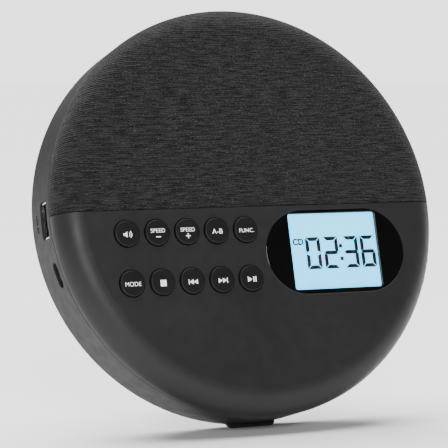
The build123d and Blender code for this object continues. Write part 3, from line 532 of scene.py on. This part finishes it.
def lcd_picture():
    """The time in seven-stroke digits, its colon, and the small word CD; places are shares of the display."""
    left, bottom = LCD_AT[0] - LCD_SIZE[0] / 2, LCD_AT[1] - LCD_SIZE[1] / 2
    width, height = LCD_SIZE
    digit_h = 0.415 * height
    digit_w = 0.165 * width
    base = bottom + 0.27 * height
    outlines = []
    for digit, place in (("0", 0.18), ("2", 0.382), ("3", 0.61), ("6", 0.805)):
        shapes = segment_outlines(left + place * width, base, digit_w, digit_h, stroke=1.4, gap=0.22)
        outlines += [shapes[key] for key in SEGMENTS[digit]]
    for share in (0.30, 0.70):
        outlines.append(rounded((left + 0.578 * width, base + share * digit_h), (1.35, 1.35), 0.2, 3))
    digits = flat_shape("lcd_digits", outlines, LCD_FRONT_Z, LCD_FRONT_Z + 0.08)
    finish_piece(digits, segment_ink, "cabinet")
    mark_at = (left + 0.10 * width, base + 0.86 * digit_h)
    mark = lettering("lcd_source", "CD", mark_at, 2.2, LCD_FRONT_Z, 0.08, 0.05)
    finish_piece(mark, segment_ink, "cabinet")


display()
lcd_picture()

# ---- Key legends ---------------------------------------------------------------------------------
to_face = to_row_mm.inverted()


def key_centre(node):
    """Middle of a key's cap, in face millimetres."""
    low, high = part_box(node)
    middle = to_face @ ((Vector(low) + Vector(high)) / 2)
    return middle.x, middle.y


def triangle(x, y, size, towards=1):
    """Outline of a triangle that points right, or left when towards is -1."""
    back, point = x - towards * size * 0.5, x + towards * size * 0.5
    return [(back, y - size * 0.58), (point, y), (back, y + size * 0.58)]


def bar(x, y, width, height):
    """Outline of an upright rectangle."""
    left, right, low, high = x - width / 2, x + width / 2, y - height / 2, y + height / 2
    return [(left, low), (right, low), (right, high), (left, high)]


def plus(x, y, size, stroke):
    """Outline of a plus sign."""
    far, near = size / 2, stroke / 2
    quarter = ((far, near), (near, near), (near, far))
    outline = []
    for turn in range(4):
        a = math.radians(90 * turn)
        for along_arm, across_arm in quarter:
            outline.append((
                x + along_arm * math.cos(a) - across_arm * math.sin(a),
                y + along_arm * math.sin(a) + across_arm * math.cos(a),
            ))
    return outline


def arc_band(centre, radius, width, start, end, steps=24):
    """Outline of part of a ring, from one angle to another."""
    turns = [math.radians(start + (end - start) * k / steps) for k in range(steps + 1)]
    sides = ((radius + width / 2, turns), (radius - width / 2, reversed(turns)))
    return [
        (centre[0] + reach * math.cos(a), centre[1] + reach * math.sin(a))
        for reach, order in sides
        for a in order
    ]


def wave_mark(x, y):
    """A small loudspeaker with two sound arcs."""
    box_back, box_front, horn_front = x - 1.7, x - 1.0, x - 0.2
    box_half, horn_half = 0.45, 1.15
    speaker = [
        (box_back, y - box_half), (box_front, y - box_half), (horn_front, y - horn_half),
        (horn_front, y + horn_half), (box_front, y + box_half), (box_back, y + box_half),
    ]
    arcs = [arc_band((x - 0.1, y), radius, 0.28, -48, 48, 10) for radius in (0.9, 1.6)]
    return [speaker] + arcs


def key_symbols(node, x, y):
    """Outlines of the drawn symbols on a key, if it has any."""
    return {
        "key_wireless": lambda: wave_mark(x, y),
        "key_speed_down": lambda: [bar(x, y - 1.2, 1.9, 0.36)],
        "key_speed_up": lambda: [plus(x, y - 1.2, 1.9, 0.36)],
        "key_stop": lambda: [bar(x, y, 2.3, 2.3)],
        "key_previous": lambda: [
            bar(x - 1.75, y, 0.32, 1.9), triangle(x - 0.75, y, 1.6, -1), triangle(x + 0.95, y, 1.6, -1),
        ],
        "key_next": lambda: [
            bar(x + 1.75, y, 0.32, 1.9), triangle(x + 0.75, y, 1.6), triangle(x - 0.95, y, 1.6),
        ],
        "key_play": lambda: [
            triangle(x - 0.85, y, 1.8), bar(x + 0.65, y, 0.42, 2.0), bar(x + 1.5, y, 0.42, 2.0),
        ],
    }.get(node, lambda: [])()


# Words printed on a key, each with its height and how far above the key's middle it sits.
KEY_WORDS = {
    "key_speed_down": (("SPEED", 1.5, 1.0),),
    "key_speed_up": (("SPEED", 1.5, 1.0),),
    "key_repeat": (("A-B", 1.9, 0.0),),
    "key_function": (("FUNC.", 1.5, 0.0),),
    "key_mode": (("MODE", 1.55, 0.0),),
}


def key_legends():
    """The raised symbol and words on each key that has them."""
    for node in key_nodes:
        x, y = key_centre(node)
        outlines = key_symbols(node, x, y)
        if outlines:
            piece = flat_shape(f"{node}_symbol", outlines, KEY_PROUD, KEY_PROUD + 0.04)
            finish_piece(piece, legend_ink_painted_glow, body_of_node[node])
        for order, (words, height, up) in enumerate(KEY_WORDS.get(node, ())):
            piece = lettering(f"{node}_legend_{order}", words, (x, y + up), height, KEY_PROUD)
            finish_piece(piece, legend_ink_painted_glow, body_of_node[node])


key_legends()


# ---- Rim: ports, jack and controls ---------------------------------------------------------------
def rim_frame(angle, z):
    """Where the rim's surface is at an angle: x along the rim, y towards the face, z outwards."""
    a = math.radians(angle)
    outwards = Vector((math.cos(a), math.sin(a), 0))
    along_rim = Vector((-math.sin(a), math.cos(a), 0))
    turned = Matrix((along_rim, (0, 0, 1), outwards)).transposed().to_4x4()
    return to_row_mm @ Matrix.Translation(BODY_R * outwards + Vector((0, 0, z))) @ turned


def port_painted_shade_lining(name, size, radius, back, place):
    """Near-black sheet lining a port's inside, painted shade standing in for the shade deep in the socket; set
    back so that only the shell's bright mouth shows.
    """
    outer = rounded((0, 0), size, radius, 8)
    inner = rounded((0, 0), (size[0] - 0.24, size[1] - 0.24), radius - 0.12, 8)
    # Painted shade: a near-black tube inside the port, darker than the socket it covers.
    piece = flat_shape(name, [outer, inner], back, -1.5)
    finish_piece(piece, port_black_and_painted_shade, "cabinet", place)


def usb_a():
    """Painted-shade lining, tongue and contacts of the large socket, and its label on the rim."""
    place = rim_frame(USB_A_ANGLE, USB_A_Z)
    # Near-black sheet inside the socket: painted shade.
    port_painted_shade_lining("usb_a_painted_shade", (12.38, 4.98), 0.3, -13.6, place)
    tongue = flat_shape("usb_a_tongue", [rounded((0, 0.9), (11.3, 2.04), 0.2)], -13.4, -1.9, 0.05)
    finish_piece(tongue, port_black_and_painted_shade, "cabinet", place)
    pads = [bar(x, -0.16, 1.0, 0.1) for x in (-3.5, -1.0, 1.0, 3.5)]
    contacts = flat_shape("usb_a_contacts", pads, -10.0, -3.2)
    finish_piece(contacts, contact_gold, "cabinet", place)
    label = lettering("usb_label", "USB 5V", (0, 0), 1.5, -0.06, 0.1)
    finish_piece(label, dark_ink, "cabinet", rim_frame(USB_A_ANGLE, LABEL_Z))


def usb_c():
    """Painted-shade lining, tongue and contacts of the small socket."""
    place = rim_frame(USB_C_ANGLE, USB_C_Z)
    # Near-black sheet inside the socket: painted shade.
    port_painted_shade_lining("usb_c_painted_shade", (8.3, 2.62), 1.3, -8.0, place)
    tongue = flat_shape("usb_c_tongue", [rounded((0, 0), (6.9, 0.9), 0.3)], -7.6, -1.95, 0.04)
    finish_piece(tongue, port_black_and_painted_shade, "cabinet", place)
    pads = [bar(-2.75 + 0.5 * k, side * 0.47, 0.25, 0.06) for k in range(12) for side in (-1, 1)]
    contacts = flat_shape("usb_c_contacts", pads, -5.5, -2.3)
    finish_piece(contacts, contact_gold, "cabinet", place)


def right_side_marks():
    """Marks by the headphone jack, the volume rocker and the power slider."""
    ear_cups = [bar(side * 1.15, -0.35, 0.6, 0.9) for side in (-1, 1)]
    headphones = [arc_band((0, 0), 1.15, 0.26, 0, 180), *ear_cups]
    mark = flat_shape("headphone_mark", headphones, -0.06, 0.04)
    finish_piece(mark, rim_ink, "cabinet", rim_frame(JACK_ANGLE, LABEL_Z))
    signs = [plus(5.4, 0, 1.8, 0.4), bar(-5.4, 0, 0.4, 1.8)]
    raised = flat_shape("volume_signs", signs, ROCKER_PROUD - 0.05, ROCKER_PROUD + 0.12, 0.03)
    finish_piece(raised, band_plastic, "rocker", rim_frame(ROCKER_ANGLE, ROCKER_Z))
    ridges = [bar(x, 0, 0.4, 3.0) for x in (-1.0, 0, 1.0)]
    grips = flat_shape("power_grips", ridges, KNOB_PROUD - 0.05, KNOB_PROUD + 0.2, 0.05)
    finish_piece(grips, band_plastic, "power", rim_frame(POWER_ANGLE, POWER_Z))
    for words, along_rim in (("ON", 1.2), ("OFF", -4.6)):
        piece = lettering(f"power_{words.lower()}", words, (along_rim, 0), 1.3, -0.08, 0.12)
        finish_piece(piece, rim_ink, "cabinet", rim_frame(POWER_ANGLE, LABEL_Z + 2.2))


usb_a()
usb_c()
right_side_marks()


# ---- Rear: lid ribs, latch grip and rating label -------------------------------------------------
def rear_details():
    """Ribs, word, arrow and label on the lid, and the latch's grip."""
    from_behind = to_row_mm @ Matrix.Rotation(math.pi, 4, "Y")
    ribs = [arc_band((0, 0), radius, 0.7, -74, 254, 160) for radius in (61.0, 58.6)]
    lid_ribs = flat_shape("lid_ribs", ribs, REAR_DEPTH - 0.05, REAR_DEPTH + 0.3, 0.1)
    finish_piece(lid_ribs, case_plastic, "lid", from_behind)
    grip = [rounded((0, LATCH_Y + shift), (8.6, 0.6), 0.25, 4) for shift in (-1.5, 0, 1.5)]
    latch_grip = flat_shape("latch_grip", grip, LATCH_DEPTH - 0.05, LATCH_DEPTH + 0.3, 0.1)
    finish_piece(latch_grip, case_plastic, "latch", from_behind)
    words = lettering("lid_open_word", "OPEN", (0, LATCH_Y + 8.6), 1.7, REAR_DEPTH, 0.05)
    finish_piece(words, rim_ink, "lid", from_behind)
    arrow = flat_shape("lid_open_arrow", [[(-1, 0.0), (1, 0.0), (0, 1.5)]], 0, 0.05)
    arrow_place = from_behind @ Matrix.Translation((0, LATCH_Y + 4.6, REAR_DEPTH))
    finish_piece(arrow, rim_ink, "lid", arrow_place)
    label_outline = rounded(LABEL_AT, (27, 15), 1.0)
    label = flat_shape("rating_label", [label_outline], REAR_DEPTH - 0.02, REAR_DEPTH + 0.08)
    finish_piece(label, label_film, "lid", from_behind)
    for row, line in enumerate(("PORTABLE DISC PLAYER", "INPUT 5V 1A", "CLASS 1 LASER PRODUCT")):
        up = LABEL_AT[1] + 4.0 - 4.0 * row
        piece = lettering(f"rating_line_{row}", line, (LABEL_AT[0], up), 1.15, REAR_DEPTH + 0.08, 0.03)
        finish_piece(piece, rim_ink, "lid", from_behind)


rear_details()

# ---- Floor, light and camera ---------------------------------------------------------------------
FLOOR_SIZE = 40.0               # metres, like everything from here on


def floor():
    """Pale, dull floor under the player."""
    n = Nodes("floor_pale")
    at = n.place()
    n.set("Base Color", n.mix(n.ramp(n.noise(at, 3), 0, 1, 0.3, 0.7), grey(0.86), grey(0.90)))
    n.set("Roughness", 0.85)
    bpy.ops.mesh.primitive_plane_add(size=FLOOR_SIZE, location=(0, 0, 0))
    ground = bpy.context.object
    ground.name = "floor"
    ground.data.materials.append(n.material)


def area_light(name, offset, size, power):
    """A soft box aimed at the middle of the face."""
    lamp = bpy.data.lights.new(name, "AREA")
    lamp.shape = "RECTANGLE"
    lamp.size, lamp.size_y = size
    lamp.energy = power
    holder = bpy.data.objects.new(name, lamp)
    holder.location = face_centre + Vector(offset)
    holder.rotation_euler = (-Vector(offset)).to_track_quat("-Z", "Y").to_euler()
    bpy.context.scene.collection.objects.link(holder)


def lights():
    """A bright backdrop that only the camera sees, a soft light from above and three soft boxes."""
    world = bpy.data.worlds.new("studio")
    world.use_nodes = True
    tree = world.node_tree
    dim = tree.nodes["Background"]
    dim.inputs["Color"].default_value = (1, 1, 1, 1)
    dim.inputs["Strength"].default_value = 0.10
    backdrop = tree.nodes.new("ShaderNodeBackground")
    backdrop.inputs["Color"].default_value = (1, 1, 1, 1)
    backdrop.inputs["Strength"].default_value = 2.5
    seen = tree.nodes.new("ShaderNodeLightPath")
    chosen = tree.nodes.new("ShaderNodeMixShader")
    tree.links.new(seen.outputs["Is Camera Ray"], chosen.inputs["Fac"])
    tree.links.new(dim.outputs["Background"], chosen.inputs[1])
    tree.links.new(backdrop.outputs["Background"], chosen.inputs[2])
    tree.links.new(chosen.outputs["Shader"], tree.nodes["World Output"].inputs["Surface"])
    bpy.context.scene.world = world
    sun = bpy.data.lights.new("overhead", "SUN")
    sun.energy = 9.0
    sun.angle = math.radians(70)
    overhead = bpy.data.objects.new("overhead", sun)
    overhead.rotation_euler = (math.radians(-22), math.radians(-4), 0)
    bpy.context.scene.collection.objects.link(overhead)
    area_light("left_box", (-1.1, 0.95, 0.15), (0.5, 1.0), 4)
    area_light("front_box", (-0.45, -1.5, 0.6), (0.40, 0.6), 17)
    area_light("right_box", (1.2, 0.2, 0.4), (0.3, 1.0), 2.5)


def camera():
    """A long lens to the left of the front, looking slightly down at the face."""
    data = bpy.data.cameras.new("camera")
    data.sensor_width = 36
    data.lens = 173.4
    data.dof.use_dof = False
    holder = bpy.data.objects.new("camera", data)
    aim = face_centre + Vector((-0.0103, 0.0044, -0.0064))
    look = Vector((0.42052, 0.90450, -0.07107))
    distance = 0.798
    holder.location = aim - distance * look
    holder.rotation_euler = look.to_track_quat("-Z", "Y").to_euler()
    bpy.context.scene.collection.objects.link(holder)
    bpy.context.scene.camera = holder


floor()
lights()
camera()
